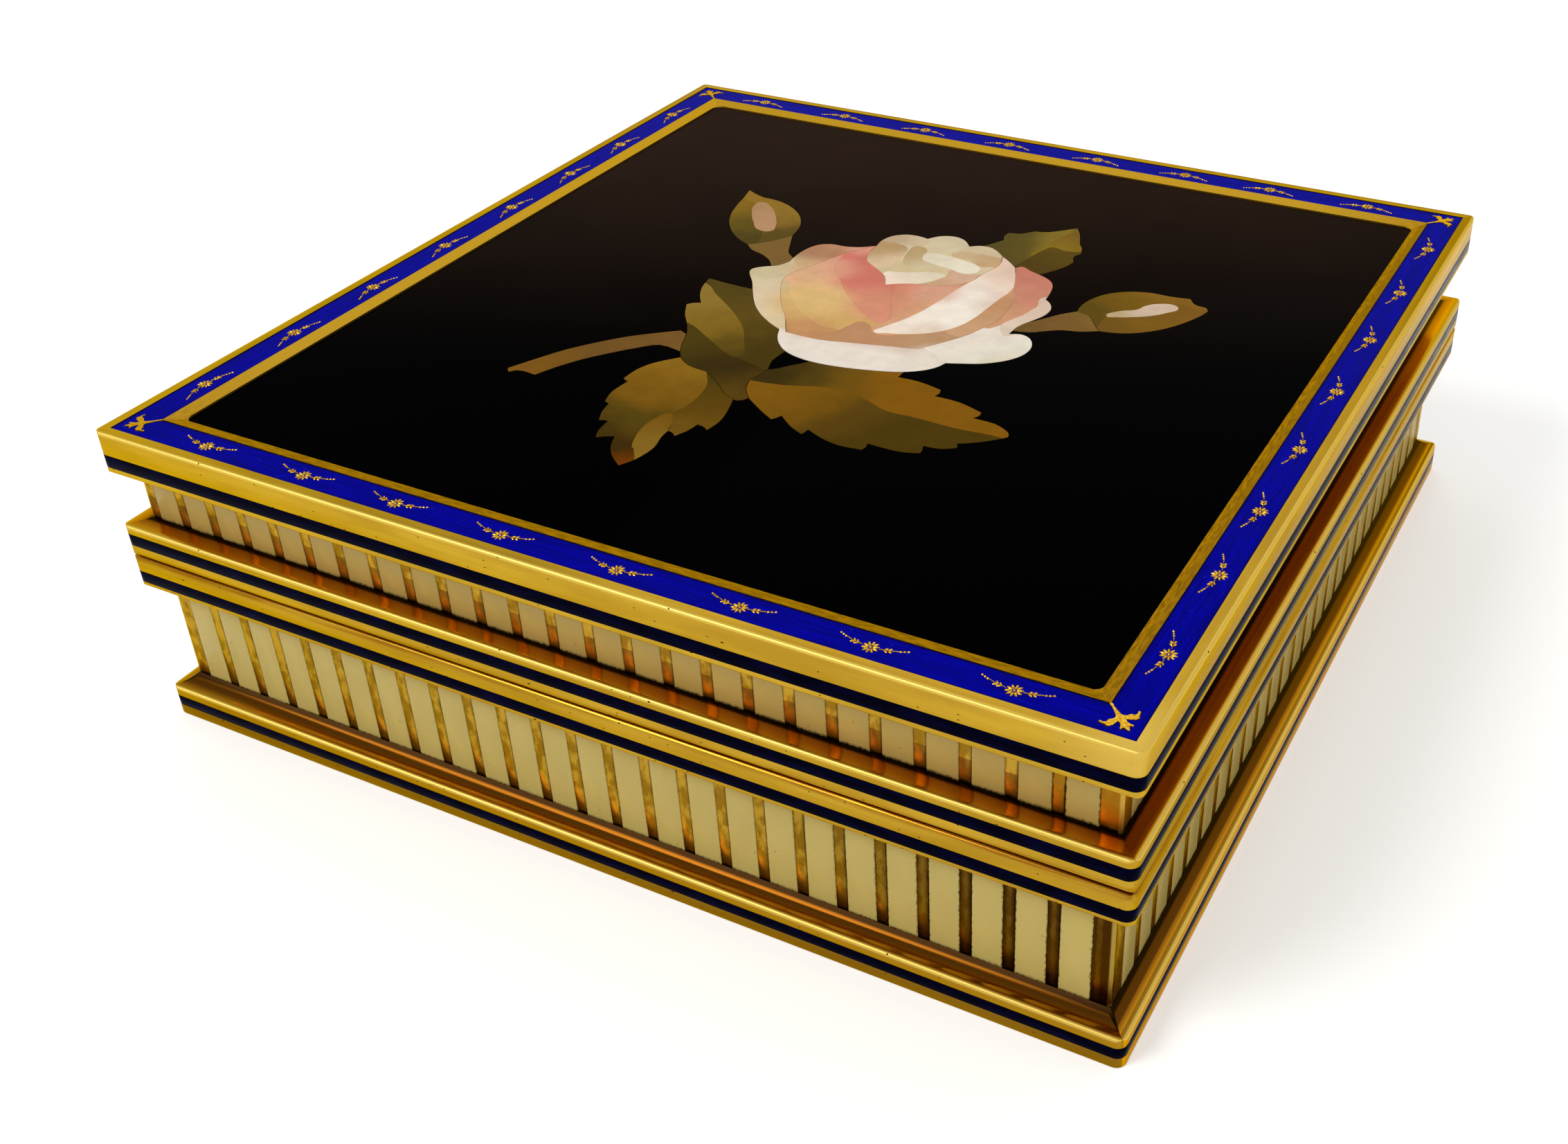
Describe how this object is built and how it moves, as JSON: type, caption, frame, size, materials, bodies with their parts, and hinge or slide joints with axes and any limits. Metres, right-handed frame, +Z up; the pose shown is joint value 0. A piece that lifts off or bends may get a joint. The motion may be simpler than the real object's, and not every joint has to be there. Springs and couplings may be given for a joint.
{
  "type": "stone mosaic box",
  "caption": "Square gilt table box with striped enamel sides and a hinged lid, its top a black stone panel inlaid with a rose spray inside a blue enamel border.",
  "frame": {"origin": "on the surface the box stands on, below the middle of its square plan", "axes": "+Z up, front face towards -Y, hinge along the back at +Y, +X to the right"},
  "size_m": [0.16, 0.1614, 0.0512],
  "materials": {
    "gilt": "satin polished gilding",
    "bright_gilt": "polished gilding",
    "navy_enamel": "gloss opaque enamel",
    "cobalt_enamel": "translucent enamel over engine turning, with gold foil",
    "cream_enamel": "opaque enamel, soft gloss",
    "black_stone": "polished",
    "slate": "sawn",
    "white_stone": "polished",
    "pink_stone": "polished",
    "pale_stone": "polished",
    "olive_stone": "polished",
    "ochre_stone": "polished",
    "tan_stone": "polished"
  },
  "bodies": {
    "base": {"bottom_plate": "gilt", "foot_rail_front": "bright_gilt", "foot_rail_right": "bright_gilt", "foot_rail_back": "bright_gilt", "foot_rail_left": "bright_gilt", "foot_enamel_line": "navy_enamel", "base_wall_front": "gilt", "base_wall_right": "gilt", "base_wall_back": "gilt", "base_wall_left": "gilt", "base_stripes_front": "cream_enamel", "base_stripes_right": "cream_enamel", "base_stripes_back": "cream_enamel", "base_stripes_left": "cream_enamel", "rim_rail_front": "bright_gilt", "rim_rail_right": "bright_gilt", "rim_rail_back": "bright_gilt", "rim_rail_left": "bright_gilt", "rim_enamel_line": "navy_enamel", "locating_lip_front": "gilt", "locating_lip_right": "gilt", "locating_lip_back": "gilt", "locating_lip_left": "gilt", "base_hinge_leaf": "gilt", "hinge_pin": "gilt"},
    "lid": {"lid_flange_rail_front": "bright_gilt", "lid_flange_rail_right": "bright_gilt", "lid_flange_rail_back": "bright_gilt", "lid_flange_rail_left": "bright_gilt", "lid_flange_enamel_line": "navy_enamel", "lid_wall_front": "gilt", "lid_wall_right": "gilt", "lid_wall_back": "gilt", "lid_wall_left": "gilt", "lid_stripes_front": "cream_enamel", "lid_stripes_right": "cream_enamel", "lid_stripes_back": "cream_enamel", "lid_stripes_left": "cream_enamel", "lid_top_rail_front": "bright_gilt", "lid_top_rail_right": "bright_gilt", "lid_top_rail_back": "bright_gilt", "lid_top_rail_left": "bright_gilt", "lid_top_enamel_line": "navy_enamel", "border_enamel": "cobalt_enamel", "black_stone_ground": "black_stone", "slate_backing": "slate", "lid_liner": "gilt", "lid_hinge_leaf": "gilt", "rose_heart": "pale_stone", "rose_inner_petals": "pink_stone", "rose_outer_petals": "white_stone", "bud_left": "ochre_stone", "bud_right": "ochre_stone", "bud_left_calyx": "tan_stone", "bud_right_calyx": "tan_stone", "leaf_left": "olive_stone", "leaf_lower_left": "ochre_stone", "leaf_lower_right": "olive_stone", "leaf_top": "olive_stone", "stem": "tan_stone"}
  },
  "joints": [
    {"name": "lid_hinge", "type": "hinge", "parent": "base", "child": "lid", "pos_m": [0, 0.08, 0.0299], "axis": [-1, 0, 0], "range_deg": [0, 105]}
  ]
}
